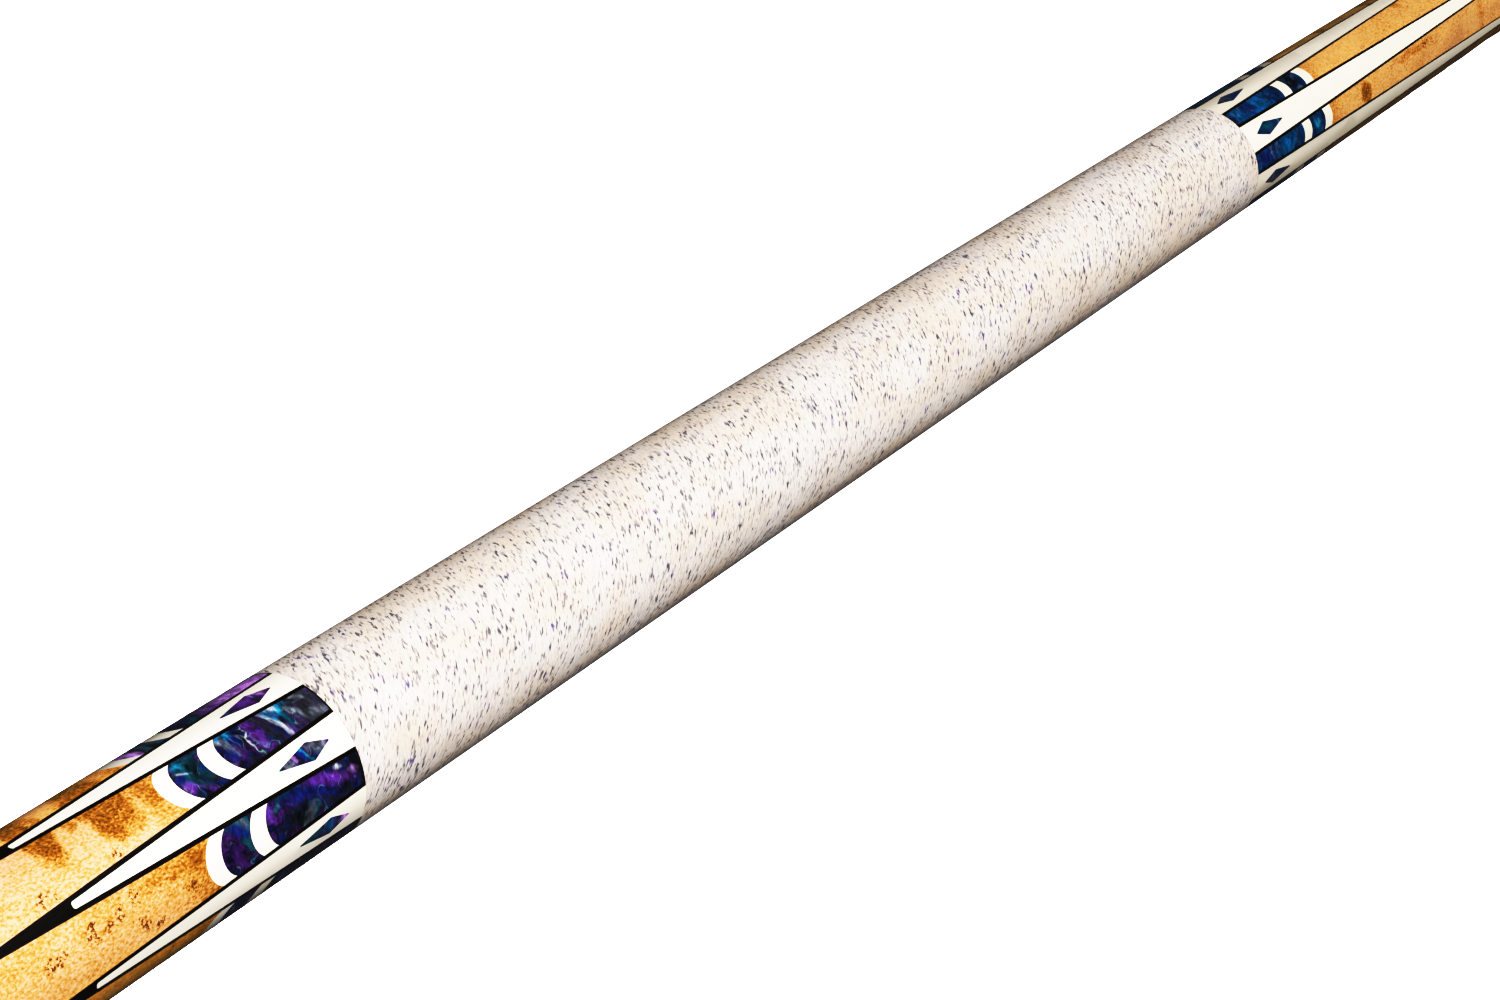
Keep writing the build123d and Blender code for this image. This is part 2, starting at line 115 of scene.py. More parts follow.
# Softboxes, with their distance from the cue and their width in metres: name, turn about the cue in
# degrees, middle and length along X in metres, power in watts, and whether glossy pieces show them.
LIGHT_DISTANCE = 1.5
LIGHT_WIDTH = 0.5
SOFTBOXES = (
    ("key_light", 47, -1.7, 2.2, 85.0, True),
    ("far_key_light", 36, 1.7, 2.4, 11.0, False),
    ("top_fill", 150, -2.0, 1.6, 5.0, False),
    ("back_light", 222, 0.0, 3.6, 40.0, True),
)

# The camera: place and aim in metres, roll in degrees, sensor and lens in mm, and how near and how far
# it sees in metres.
CAMERA_PLACE = (-0.9560, -0.3381, 0.3125)
CAMERA_AIM = (-0.4788, 0.0, -0.0082)
CAMERA_ROLL = 0.588
SENSOR_WIDTH = 36.0
LENS = 85.45
NEAREST, FARTHEST = 0.01, 100.0

# The film's tone curve: scene light, and the light that it becomes.
FILM_POINTS = (
    (0.0, 0.0),
    (0.1, 0.04),
    (0.26, 0.165),
    (0.42, 0.42),
    (0.6, 0.655),
    (0.8, 0.85),
    (1.0, 0.94),
    (1.3, 0.985),
    (1.7, 1.0),
)


# ---------------------------------------------------------------- node helpers
def srgb(red, green, blue):
    """Linear colour from display values of 0 to 255, by the sRGB curve."""
    def linear(value):
        share = value / 255
        return share / 12.92 if share <= 0.04045 else ((share + 0.055) / 1.055) ** 2.4
    return (linear(red), linear(green), linear(blue), 1.0)


class Graph:
    """One material and short names for building its nodes."""

    def __init__(self, name):
        self.material = bpy.data.materials.new(name)
        self.material.use_nodes = True
        self.tree = self.material.node_tree
        self.shader = self.tree.nodes["Principled BSDF"]
        self.object_space = self.node("ShaderNodeTexCoord").outputs["Object"]
        self.mm = self.vector("SCALE", self.object_space, scale=1 / MM)

    def feed(self, socket, value):
        """Links an output to an input, or sets the input's value."""
        if isinstance(value, bpy.types.NodeSocket):
            self.tree.links.new(value, socket)
        elif value is not None:
            socket.default_value = value

    def node(self, kind, inputs=(), **settings):
        made = self.tree.nodes.new(kind)
        for key, value in settings.items():
            setattr(made, key, value)
        for key, value in dict(inputs).items():
            self.feed(made.inputs[key], value)
        return made

    def math(self, operation, first, second=None):
        return self.node("ShaderNodeMath", {0: first, 1: second}, operation=operation).outputs[0]

    def scaled(self, value, factor, base):
        """The value times a factor, on top of a base."""
        return self.math("ADD", self.math("MULTIPLY", value, factor), base)

    def vector(self, operation, first, second=None, scale=None):
        made = self.node("ShaderNodeVectorMath", {0: first, 1: second}, operation=operation)
        if scale is not None:
            self.feed(made.inputs["Scale"], scale)
        return made.outputs[0]

    def join(self, x, y, z=0.0):
        return self.node("ShaderNodeCombineXYZ", {0: x, 1: y, 2: z}).outputs[0]

    def split(self, vector):
        return self.node("ShaderNodeSeparateXYZ", {0: vector}).outputs

    def stretched(self, x, y, z):
        """Object space in mm, divided by a length along each axis."""
        return self.vector("DIVIDE", self.mm, (x, y, z))

    def noise(self, vector, detail=2.0, rough=0.5, distortion=0.0, colour=False):
        """Noise with about one blob per unit of the vector."""
        made = self.node(
            "ShaderNodeTexNoise",
            {"Vector": vector, "Scale": 1.0, "Detail": detail, "Roughness": rough, "Distortion": distortion},
        )
        return made.outputs["Color" if colour else "Fac"]

    def cells(self, vector):
        """Distance from the middles of cells about one unit of the vector across."""
        return self.node("ShaderNodeTexVoronoi", {"Vector": vector, "Scale": 1.0}).outputs["Distance"]

    def ramp(self, value, *stops):
        """A colour or grey for each stop, as (place, colour)."""
        made = self.node("ShaderNodeValToRGB", {0: value})
        elements = made.color_ramp.elements
        while len(elements) < len(stops):
            elements.new(1.0)
        for element, (place, colour) in zip(elements, stops):
            element.position = place
            element.color = colour if hasattr(colour, "__len__") else (colour, colour, colour, 1.0)
        return made.outputs[0]

    def step(self, value, low, high):
        """0 below low, 1 above high and smooth between."""
        made = self.node("ShaderNodeMapRange", {0: value, 1: low, 2: high}, interpolation_type="SMOOTHSTEP")
        return made.outputs[0]

    def blend(self, factor, first, second, mode="MIX"):
        """Mixes two colours, which go into sockets 6 and 7 of the node."""
        made = self.node("ShaderNodeMix", {0: factor, 6: first, 7: second}, data_type="RGBA", blend_type=mode)
        return made.outputs[2]

    def bump(self, height, depth):
        """Relief of that depth in metres."""
        return self.node("ShaderNodeBump", {"Height": height, "Distance": depth, "Strength": 1.0}).outputs[0]

    def turn(self):
        """Degrees about the cue, from the -Y side up towards +Z, from -180 to 180."""
        _, y, z = self.split(self.mm)
        return self.math("DEGREES", self.math("ARCTAN2", z, self.math("MULTIPLY", y, -1.0)))

    def from_wrap(self, edge, direction):
        """Distance in mm from the wrap's edge, counted away from the wrap."""
        x = self.split(self.mm)[0]
        return self.math("MULTIPLY", self.math("SUBTRACT", x, edge / MM), direction)

    def patch(self, t, turn, centre, reach, lean=0.0, soft=0.5):
        """1 at a place (mm from the wrap, degrees) and 0 beyond its reach (mm along, mm around)."""
        along = self.math("SUBTRACT", t, centre[0])
        about = self.math("MULTIPLY", self.math("SUBTRACT", turn, centre[1]), MM_PER_DEGREE)
        cos, sin = math.cos(math.radians(lean)), math.sin(math.radians(lean))
        first = self.math("ADD", self.math("MULTIPLY", along, cos), self.math("MULTIPLY", about, sin))
        other = self.math("SUBTRACT", self.math("MULTIPLY", about, cos), self.math("MULTIPLY", along, sin))
        spread = self.join(self.math("DIVIDE", first, reach[0]), self.math("DIVIDE", other, reach[1]))
        distance = self.node("ShaderNodeVectorMath", {0: spread}, operation="LENGTH").outputs["Value"]
        return self.math("SUBTRACT", 1.0, self.step(distance, 1.0 - soft, 1.0))

    def wavered(self, value, amount, size, seed=0.0):
        """A value moved up and down by noise of that size in mm, so that what it draws looks ragged."""
        place = self.vector("ADD", self.stretched(size, size, size), (seed, seed, seed))
        drift = self.math("SUBTRACT", self.noise(place), 0.5)
        return self.math("ADD", value, self.math("MULTIPLY", drift, amount))

    def finish(self, colour, rough, normal=None, **even):
        """Sets the shader: linked looks first, then the sockets that are the same all over."""
        self.feed(self.shader.inputs["Base Color"], colour)
        self.feed(self.shader.inputs["Roughness"], rough)
        self.feed(self.shader.inputs["Normal"], normal)
        for name, value in even.items():
            self.shader.inputs[name.replace("_", " ")].default_value = value
        return self.material


# ---------------------------------------------------------------- materials
def linen():
    """Pressed linen thread: cream, with short dark and violet flecks that slant with its twist."""
    g = Graph("linen")
    x = g.split(g.mm)[0]
    share = g.math("DIVIDE", g.turn(), 360.0)
    winding = g.math("SUBTRACT", g.math("DIVIDE", x, THREAD_PITCH / MM), share)
    thread = g.math("FLOOR", winding)
    across = g.math("MULTIPLY", g.math("FRACT", winding), THREAD_PITCH / MM)
    along = g.math("MULTIPLY", g.math("ADD", thread, share), TAU * MEAN_WRAP_RADIUS)
    twist = math.radians(THREAD_TWIST)
    down_fibre = g.math(
        "ADD", g.math("MULTIPLY", along, math.cos(twist)), g.math("MULTIPLY", across, math.sin(twist)))
    over_fibre = g.math(
        "SUBTRACT", g.math("MULTIPLY", across, math.cos(twist)), g.math("MULTIPLY", along, math.sin(twist)))
    strand = g.math("MULTIPLY", thread, THREAD_SHIFT)

    def fibres(length, width):
        """Place along and across the fibres, divided by a length and a width in mm."""
        return g.join(g.math("DIVIDE", down_fibre, length), g.math("DIVIDE", over_fibre, width), strand)

    fleck = g.noise(fibres(2.4, 0.62), detail=1.0)
    crowd = g.noise(g.stretched(9.0, 6.0, 6.0), detail=2.0)
    fleck = g.math("ADD", fleck, g.math("MULTIPLY", g.math("SUBTRACT", crowd, 0.5), 0.12))
    dark = g.step(fleck, 0.54, 0.67)
    faint = g.step(g.noise(fibres(3.0, 0.6), detail=3.0, rough=0.65), 0.44, 0.72)
    violet = g.step(g.noise(g.stretched(2.6, 3.4, 3.4), detail=0.0), 0.62, 0.70)
    ink = g.blend(violet, srgb(70, 74, 92), srgb(74, 62, 118))
    warm = g.step(g.noise(g.stretched(16.0, 8.0, 8.0), detail=3.0), 0.36, 0.64)
    cream = g.blend(warm, srgb(212, 203, 196), srgb(208, 194, 180))
    cream = g.blend(g.math("MULTIPLY", faint, 0.5), cream, srgb(158, 153, 154))
    strength = g.scaled(g.step(g.noise(fibres(0.9, 3.0), detail=0.0), 0.25, 0.75), 0.5, 0.4)
    colour = g.blend(g.math("MULTIPLY", dark, strength), cream, ink)
    fibre_relief = g.noise(fibres(1.2, 0.12), detail=2.0)
    rough = g.scaled(faint, 0.15, 0.62)
    return g.finish(colour, rough, g.bump(fibre_relief, 0.03 * MM), Specular_IOR_Level=0.2)


# Dark cross bands of the burl: mm from the wrap, turn, reach along and around in mm, and strength.
SLEEVE_BANDS = (
    (43.4, 98, 5.2, 13.5, 1.0),
    (46.0, 86, 3.6, 10.0, 1.0),
    (56.8, 100, 3.9, 12.6, 1.0),
    (51.0, 90, 2.2, 3.4, 0.6),
    (37.4, 80, 2.0, 6.5, 0.3),
    (41.5, 14, 4.5, 3.5, 0.06),
    (70.0, 122, 3.6, 8.0, 1.0),
)
FOREARM_BANDS = (
    (53.0, 10, 2.6, 5.0, 1.0),
    (98.0, 84, 4.5, 7.0, 1.0),
)
# Bird's eyes: mm from the wrap and turn.
SLEEVE_EYES = (
    (66.0, 18), (68.5, 19), (59.0, 24), (59.5, 20), (56.0, 21), (53.5, 24),
    (50.0, 26), (47.0, 6), (49.6, 9), (62.0, 51), (64.0, 51), (48.6, 53), (38.5, 10),
)
FOREARM_EYES = ((60.0, 60), (84.0, 26), (88.0, 22), (120.0, 64))

# One dark streak along the grain: mm from the wrap, turn, and reach along and around in mm.
SLEEVE_STREAK = (41.0, 26, 10.0, 1.7)
FOREARM_STREAK = (76.0, 24, 14.0, 1.5)

# What multiplies the wood's colour: the sleeve's stain, the forearm's stain, painted shade that deepens the
# cue's low flank, underside and back, and painted light that brightens its high flank.
SLEEVE_STAIN = (1.0, 1.0, 1.0, 1.0)
FOREARM_STAIN = (0.96, 0.93, 0.64, 1.0)
LOW_FLANK_PAINTED_SHADE = (1.1, 1.0, 0.3, 1.0)
HIGH_FLANK_PAINTED_LIGHT = (1.45, 1.42, 1.0, 1.0)

# Turns in degrees between which the low flank's painted shade, the high flank's painted light and the
# lower side's painted shade set in or fade out.
LOW_FLANK = ((4.0, -14.0), (125.0, 160.0))
HIGH_FLANK = ((88.0, 100.0), (160.0, 125.0))
LOWER_SIDE = (46.0, 38.0)

# Where the burl's random bands are nearly absent: mm from the wrap and turn, and reach along and around
# in mm. Then the distances from the wrap, in mm, between which the wood grows darker towards it, and a
# bird's eye's reach in mm.
QUIET_PLACE = (50.0, 38)
QUIET_REACH = (95.0, 16.5)
DARK_END = (42.0, 36.5)
EYE_REACH = (1.5, 1.3)


def burl(name, edge, direction, seed, bands, eyes, streak, low_shade, stain):
    """Stained burl maple: a gold ground with fine mottling, stippled cross bands and bird's eyes.

    Its marks are counted from an edge of the wrap, in a direction along X. The seed moves the wood in mm.
    """
    g = Graph(name)
    place = g.vector("ADD", g.mm, (seed, 0.0, 0.0))

    def at(x, y, z):
        """Place in this piece of wood, divided by a length in mm along each axis."""
        return g.vector("DIVIDE", place, (x, y, z))

    side = g.turn()
    turn = g.wavered(side, 16.0, 3.5)
    t = g.wavered(g.wavered(g.from_wrap(edge, direction), 3.6, 4.5, seed=9.0), 1.6, 1.1, seed=4.0)
    loud = g.scaled(g.patch(t, turn, QUIET_PLACE, QUIET_REACH), -0.76, 0.8)
    sway = g.vector("SCALE", g.noise(at(22.0, 14.0, 14.0), colour=True), scale=1.6)
    figure = g.noise(g.vector("ADD", at(6.5, 24.0, 24.0), sway), detail=1.5, rough=0.45)
    band = g.math("MULTIPLY", g.step(figure, 0.56, 0.68), loud)
    for along, about, length, width, strength in bands:
        spot = g.patch(t, turn, (along, about), (length, width), soft=0.45)
        band = g.math("MAXIMUM", band, g.math("MULTIPLY", spot, strength))
    clouds = g.noise(at(13.0, 8.0, 8.0), detail=2.0, rough=0.6)
    mottle = g.noise(at(0.62, 0.42, 0.42), detail=2.0, rough=0.65)
    stipple = g.step(g.cells(at(0.62, 0.5, 0.5)), 0.18, 0.62)
    fibre = g.noise(at(4.5, 0.3, 0.3), detail=2.0, rough=0.6)
    lower = g.step(side, *LOWER_SIDE)

    def take(shade, amount, share):
        """The shade made darker by a share of an amount."""
        return g.math("SUBTRACT", shade, g.math("MULTIPLY", amount, share))

    shade = take(1.53, clouds, 0.30)
    shade = take(shade, mottle, 1.24)
    shade = take(shade, fibre, 0.08)
    # Painted shade: the wood's lower side is darker by low_shade.
    shade = take(shade, lower, low_shade)
    shade = take(shade, g.step(t, *DARK_END), 0.19)
    shade = take(shade, band, g.scaled(g.math("SUBTRACT", 1.0, stipple), 0.26, 0.40))
    smear = g.patch(t, turn, streak[:2], streak[2:], lean=3.0, soft=0.7)
    shade = take(shade, smear, g.math("MULTIPLY", g.noise(at(3.0, 0.45, 0.45), detail=1.0), 0.42))
    crumbs = g.step(g.noise(at(0.55, 0.5, 0.5), detail=2.0, rough=0.7), 0.50, 0.60)
    knots = g.patch(t, turn, eyes[0], EYE_REACH, soft=0.6)
    for eye in eyes[1:]:
        knots = g.math("MAXIMUM", knots, g.patch(t, turn, eye, EYE_REACH, soft=0.6))
    shade = take(shade, g.math("MULTIPLY", knots, crumbs), 0.78)
    colour = g.ramp(
        shade,
        (0.00, srgb(103, 61, 8)),
        (0.18, srgb(132, 86, 13)),
        (0.34, srgb(162, 110, 25)),
        (0.46, srgb(187, 134, 57)),
        (0.58, srgb(202, 152, 94)),
        (0.70, srgb(215, 168, 127)),
        (0.82, srgb(223, 179, 150)),
    )
    colour = g.blend(1.0, colour, stain, mode="MULTIPLY")
    # Painted shade deepens the low flank, underside and back towards orange; painted light brightens the high
    # flank.
    painted_low_shade = g.math("MAXIMUM", *(g.step(side, *turns) for turns in LOW_FLANK))
    painted_high_light = g.math("MULTIPLY", *(g.step(side, *turns) for turns in HIGH_FLANK))
    colour = g.blend(painted_low_shade, colour, LOW_FLANK_PAINTED_SHADE, mode="MULTIPLY")
    colour = g.blend(painted_high_light, colour, HIGH_FLANK_PAINTED_LIGHT, mode="MULTIPLY")
    rough = g.scaled(fibre, 0.15, 0.32)
    return g.finish(colour, rough, **CLEAR_COAT)


# Colours in the pearl, as display values.
VIOLET = (100, 48, 134)
DEEP_VIOLET = (61, 28, 92)
CYAN = (24, 128, 156)
SILVER = (160, 168, 176)
NAVY = (18, 36, 106)
TEAL = (8, 84, 99)
BLUE = (6, 96, 140)
SMOKE = (71, 73, 84)
ORCHID = (150, 112, 164)
LILAC = (214, 158, 238)
INK = (12, 11, 17)
SOOT = (44, 45, 52)
ASH = (112, 116, 124)

# Streaks in the pearl: colour, mm from the wrap, turn, reach along and around in mm, and lean.
SLEEVE_STREAKS = (
    (SMOKE, 3.0, 68, 4.6, 8.0, 0),
    (SOOT, 3.4, 70, 4.4, 7.0, 0),
    (ASH, 2.4, 60, 1.5, 1.6, 30),
    (ASH, 5.4, 66, 0.7, 2.6, -20),
    (ASH, 3.6, 76, 1.2, 1.0, 30),
    (INK, 4.8, 79, 1.6, 1.4, 30),
    (SOOT, 12.0, 70, 1.5, 6.5, 4),
    (CYAN, 8.0, 77, 2.6, 3.0, 40),
    (TEAL, 7.2, 66, 1.5, 4.0, 5),
    (SILVER, 9.7, 66, 0.8, 5.0, -14),
    (SILVER, 8.6, 79, 0.9, 1.5, 30),
    (CYAN, 9.3, 70, 0.8, 1.6, -20),
    (VIOLET, 14.3, 67, 1.6, 6.4, 3),
    (SILVER, 15.9, 66, 0.35, 5.0, 10),
    (INK, 16.8, 70, 0.8, 5.0, 6),
    (CYAN, 18.8, 78, 1.9, 2.4, 30),
    (NAVY, 18.2, 72, 1.3, 2.2, 30),
    (ASH, 20.6, 76, 1.0, 3.0, -30),
    (DEEP_VIOLET, 19.0, 63, 1.5, 2.0, 0),
    (NAVY, 21.0, 66, 1.2, 2.6, 0),
    (TEAL, 28.5, 72, 4.2, 5.0, 0),
    (INK, 27.3, 70, 1.4, 3.5, 30),
    (NAVY, 30.6, 68, 1.9, 1.9, 0),
    (CYAN, 29.4, 78, 1.9, 1.2, 20),
    (SILVER, 29.9, 71, 2.0, 0.4, 28),
    (VIOLET, 30.6, 60, 1.9, 1.9, -20),
    (ORCHID, 30.9, 60, 0.8, 0.7, 0),
    (NAVY, 12.5, 22, 10.0, 3.0, 16),
    (INK, 14.5, 10, 5.5, 3.4, 0),
    (VIOLET, 7.6, 21, 8.6, 1.5, 20),
    (SILVER, 5.4, 25, 1.6, 0.7, 24),
    (ORCHID, 1.8, 17, 1.3, 0.9, 20),
    (VIOLET, 21.0, 24, 1.5, 2.6, 10),
    (DEEP_VIOLET, 29.6, 12, 2.4, 2.6, 20),
    (NAVY, 27.6, 24, 3.6, 1.6, 30),
    (LILAC, 6.0, 113, 11.5, 8.5, 0),
    (VIOLET, 13.0, 108, 3.5, 4.0, 30),
    (LILAC, 4.0, 112, 4.5, 6.5, 0),
    (TEAL, 17.6, 106, 1.6, 5.0, 0),
    (LILAC, 30.6, 112, 2.2, 6.5, 0),
)
FOREARM_STREAKS = (
    (BLUE, 12.6, 68, 4.6, 5.0, 0),
    (NAVY, 8.0, 66, 2.4, 5.0, 0),
    (BLUE, 3.4, 69, 3.0, 4.0, 0),
    (INK, 0.2, 68, 1.4, 6.0, 0),
    (INK, 28.0, 68, 4.6, 5.0, 0),
    (NAVY, 4.4, 15, 5.6, 4.2, 0),
    (BLUE, 14.0, 16, 5.0, 4.6, 0),
    (CYAN, 28.6, 17, 2.6, 2.4, 0),
)
SLEEVE_DIAMOND_STREAKS = (
    (ASH, 6.0, 42, 2.8, 2.2, 0),
    (DEEP_VIOLET, 4.6, 42, 1.3, 1.2, 0),
    (NAVY, 10.0, 42, 1.1, 2.4, -25),
    (CYAN, 9.2, 41, 0.55, 2.2, -25),
    (ORCHID, 12.0, 43, 0.7, 1.6, -15),
    (ASH, 13.6, 42, 1.6, 1.4, 0),
    (VIOLET, 9.0, 94, 5.6, 2.2, 0),
    (ORCHID, 7.0, 96, 1.8, 1.0, 0),
    (TEAL, 13.6, 94, 1.2, 1.2, 0),
    (TEAL, 12.0, -9, 3.4, 2.0, 0),
    (BLUE, 8.6, -9, 1.8, 2.0, -20),
    (INK, 9.8, -8, 0.5, 1.8, -20),
    (LILAC, 5.2, -10, 1.8, 1.4, -20),
)
FOREARM_DIAMOND_STREAKS = (
    (TEAL, 9.0, 42, 4.0, 2.0, 0),
    (SMOKE, 7.0, 96, 5.0, 2.6, 0),
    (SMOKE, 7.0, -12, 5.0, 2.6, 0),
)


def pearl(name, edge, direction, seed, blues, streaks):
    """Swirled pearl acrylic: violet and navy folds, or blue ones as blues goes to 1, and brighter streaks.

    Its streaks are counted from an edge of the wrap, in a direction along X. The seed moves the swirl.
    """
    g = Graph(name)
    base = g.vector("ADD", g.stretched(5.5, 7.5, 7.5), (seed, seed, 0.0))
    fold = g.vector("SCALE", g.noise(base, detail=2.0, colour=True), scale=2.6)
    folded = g.vector("ADD", base, fold)
    flow = g.noise(folded, detail=3.0, rough=0.5)
    violets = g.ramp(
        flow,
        (0.28, srgb(8, 8, 12)),
        (0.38, srgb(34, 34, 50)),
        (0.43, srgb(16, 32, 92)),
        (0.48, srgb(10, 10, 16)),
        (0.53, srgb(72, 34, 104)),
        (0.58, srgb(26, 22, 38)),
        (0.64, srgb(18, 78, 94)),
        (0.72, srgb(96, 98, 110)),
    )
    teals = g.ramp(
        flow,
        (0.30, srgb(6, 18, 44)),
        (0.42, srgb(6, 56, 100)),
        (0.50, srgb(6, 34, 76)),
        (0.56, srgb(8, 88, 132)),
        (0.62, srgb(8, 38, 84)),
        (0.72, srgb(60, 116, 142)),
    )
    colour = g.blend(blues, violets, teals)
    ridge = g.noise(g.vector("ADD", g.stretched(2.4, 4.2, 4.2), fold), detail=2.0, rough=0.55)
    ragged = g.math("MULTIPLY", g.math("SUBTRACT", ridge, 0.5), 4.5)
    t = g.math("ADD", g.from_wrap(edge, direction), ragged)
    turn = g.math("ADD", g.turn(), g.math("MULTIPLY", ragged, 3.0))
    wisp = g.noise(g.vector("ADD", g.stretched(0.7, 1.6, 1.6), fold), detail=2.0)
    wisp = g.ramp(wisp, (0.36, 0.45), (0.52, 1.0))
    for shade, along, about, length, width, lean in streaks:
        mask = g.patch(t, turn, (along, about), (length, width), lean=lean, soft=0.85)
        colour = g.blend(g.math("MULTIPLY", mask, wisp), colour, srgb(*shade))
    vein = g.math("ABSOLUTE", g.math("SUBTRACT", g.noise(folded, detail=1.0), 0.47))
    vein = g.math("SUBTRACT", 1.0, g.step(vein, 0.0, 0.022))
    gleam = g.step(g.noise(g.stretched(3.4, 3.4, 3.4), detail=1.0), 0.47, 0.60)
    vein_colour = g.blend(g.step(flow, 0.4, 0.55), srgb(30, 128, 156), srgb(150, 154, 166))
    colour = g.blend(g.math("MULTIPLY", g.math("MULTIPLY", vein, gleam), 0.5), colour, vein_colour)
    flake = g.noise(g.stretched(0.42, 0.5, 0.5), detail=1.0)
    smoke = g.noise(g.vector("ADD", g.stretched(1.3, 2.4, 2.4), fold), detail=3.0, rough=0.6)
    glow = g.math("MULTIPLY", g.math("ADD", flake, 0.5), g.scaled(smoke, 3.2, -0.6))
    colour = g.vector("SCALE", colour, scale=glow)
    rough = g.scaled(flow, 0.3, 0.2)
    return g.finish(colour, rough, **CLEAR_COAT)


def white_inlay(name, tone):
    """Warm white inlay with a very faint figure under a clear coat."""
    g = Graph(name)
    cloud = g.noise(g.stretched(9.0, 4.0, 4.0), detail=3.0, rough=0.6)
    colour = g.blend(cloud, srgb(245, 239, 226), srgb(239, 230, 215))
    # The tone multiplies the colour; the forearm's tone is painted shade.
    colour = g.blend(1.0, colour, tone, mode="MULTIPLY")
    rough = g.scaled(cloud, 0.1, 0.3)
    return g.finish(colour, rough, **CLEAR_COAT)


def black_inlay():
    """Ebony: near-black, with faint brown pores along the grain."""
    g = Graph("black_inlay")
    pores = g.noise(g.stretched(4.0, 0.25, 0.25), detail=2.0)
    colour = g.blend(g.step(pores, 0.5, 0.75), srgb(6, 4, 3), srgb(22, 14, 9))
    rough = g.scaled(pores, 0.2, 0.25)
    return g.finish(colour, rough, **CLEAR_COAT)


def phenolic():
    """Polished black phenolic with faint turning marks."""
    g = Graph("phenolic")
    marks = g.noise(g.stretched(0.18, 40.0, 40.0), detail=2.0)
    fog = g.noise(g.stretched(14.0, 10.0, 10.0), detail=3.0)
    colour = g.blend(fog, srgb(12, 12, 14), srgb(24, 23, 25))
    rough = g.scaled(marks, 0.12, 0.1)
    return g.finish(colour, rough, g.bump(marks, 0.002 * MM), **CLEAR_COAT)


def maple(name, pale, deep, rough_low):
    """Straight-grained hard maple: long fibres, growth lines and short pores."""
    g = Graph(name)
    growth = g.noise(g.stretched(160.0, 1.7, 1.7), detail=3.0, rough=0.6, distortion=0.3)
    fibre = g.noise(g.stretched(14.0, 0.22, 0.22), detail=3.0, rough=0.65)
    pores = g.step(g.noise(g.stretched(2.2, 0.16, 0.16), detail=1.0), 0.66, 0.76)
    tone = g.math("ADD", g.math("MULTIPLY", growth, 0.6), g.math("MULTIPLY", fibre, 0.4))
    colour = g.ramp(tone, (0.34, deep), (0.62, pale))
    colour = g.blend(g.math("MULTIPLY", pores, 0.35), colour, srgb(150, 110, 70))
    rough = g.scaled(fibre, 0.18, rough_low)
    return g.finish(colour, rough, g.bump(fibre, 0.006 * MM), Coat_Weight=0.35, Coat_Roughness=0.25)


def turned_metal(name, light, dark, rough_low):
    """Metal with fine lathe marks round the cue and slight stains."""
    g = Graph(name)
    marks = g.noise(g.stretched(0.07, 30.0, 30.0), detail=2.0)
    stain = g.noise(g.stretched(6.0, 5.0, 5.0), detail=4.0, rough=0.6)
    colour = g.blend(g.step(stain, 0.35, 0.7), light, dark)
    rough = g.scaled(marks, 0.2, rough_low)
    return g.finish(colour, rough, g.bump(marks, 0.004 * MM), Metallic=1.0)


def rubber():
    """Moulded black rubber, finely pitted, with dusty patches."""
    g = Graph("rubber")
    pits = g.noise(g.stretched(0.35, 0.35, 0.35), detail=3.0, rough=0.7)
    dust = g.step(g.noise(g.stretched(7.0, 6.0, 6.0), detail=4.0, rough=0.65), 0.45, 0.75)
    colour = g.blend(g.math("MULTIPLY", dust, 0.5), srgb(26, 26, 27), srgb(62, 60, 58))
    rough = g.scaled(pits, 0.2, 0.62)
    return g.finish(colour, rough, g.bump(pits, 0.05 * MM), Specular_IOR_Level=0.3)


def ferrule_white():
    """Polished white ferrule, slightly yellowed, with fine rings."""
    g = Graph("ferrule_white")
    cloud = g.noise(g.stretched(7.0, 4.0, 4.0), detail=3.0)
    rings = g.noise(g.stretched(0.2, 30.0, 30.0), detail=1.0)
    colour = g.blend(cloud, srgb(247, 244, 236), srgb(238, 232, 218))
    rough = g.scaled(rings, 0.12, 0.18)
    return g.finish(colour, rough, g.bump(rings, 0.003 * MM), Subsurface_Weight=0.08, Coat_Weight=0.5)


def fibre_pad():
    """Black vulcanised fibre in thin pressed sheets."""
    g = Graph("fibre_pad")
    sheets = g.noise(g.stretched(0.12, 9.0, 9.0), detail=2.0)
    colour = g.blend(sheets, srgb(24, 22, 22), srgb(52, 46, 44))
    rough = g.scaled(sheets, 0.2, 0.5)
    return g.finish(colour, rough, g.bump(sheets, 0.02 * MM))


def tip_leather():
    """Layered leather tip: burnished stack at the side and scuffed chalky grain on the dome."""
    g = Graph("tip_leather")
    x = g.split(g.mm)[0]
    warp = g.math("MULTIPLY", g.noise(g.stretched(3.0, 3.0, 3.0), detail=1.0), 0.15)
    height = g.math("ADD", g.math("SUBTRACT", x, TIP_LOW.x / MM), warp)
    layer = g.math("FRACT", g.math("DIVIDE", height, 0.62))
    seam = g.math("SUBTRACT", 1.0, g.step(g.math("ABSOLUTE", g.math("SUBTRACT", layer, 0.5)), 0.02, 0.12))
    grain = g.noise(g.stretched(0.3, 0.3, 0.3), detail=4.0, rough=0.7)
    colour = g.blend(grain, srgb(92, 58, 36), srgb(140, 94, 60))
    colour = g.blend(g.math("MULTIPLY", seam, 0.7), colour, srgb(50, 32, 24))
    dome = g.step(height, 3.0, 3.5)
    chalk = g.step(g.noise(g.stretched(0.8, 0.8, 0.8), detail=4.0, rough=0.7), 0.42, 0.62)
    colour = g.blend(g.math("MULTIPLY", g.math("MULTIPLY", dome, chalk), 0.6), colour, srgb(96, 128, 150))
    rough = g.scaled(dome, 0.35, 0.42)
    return g.finish(colour, rough, g.bump(grain, 0.06 * MM))


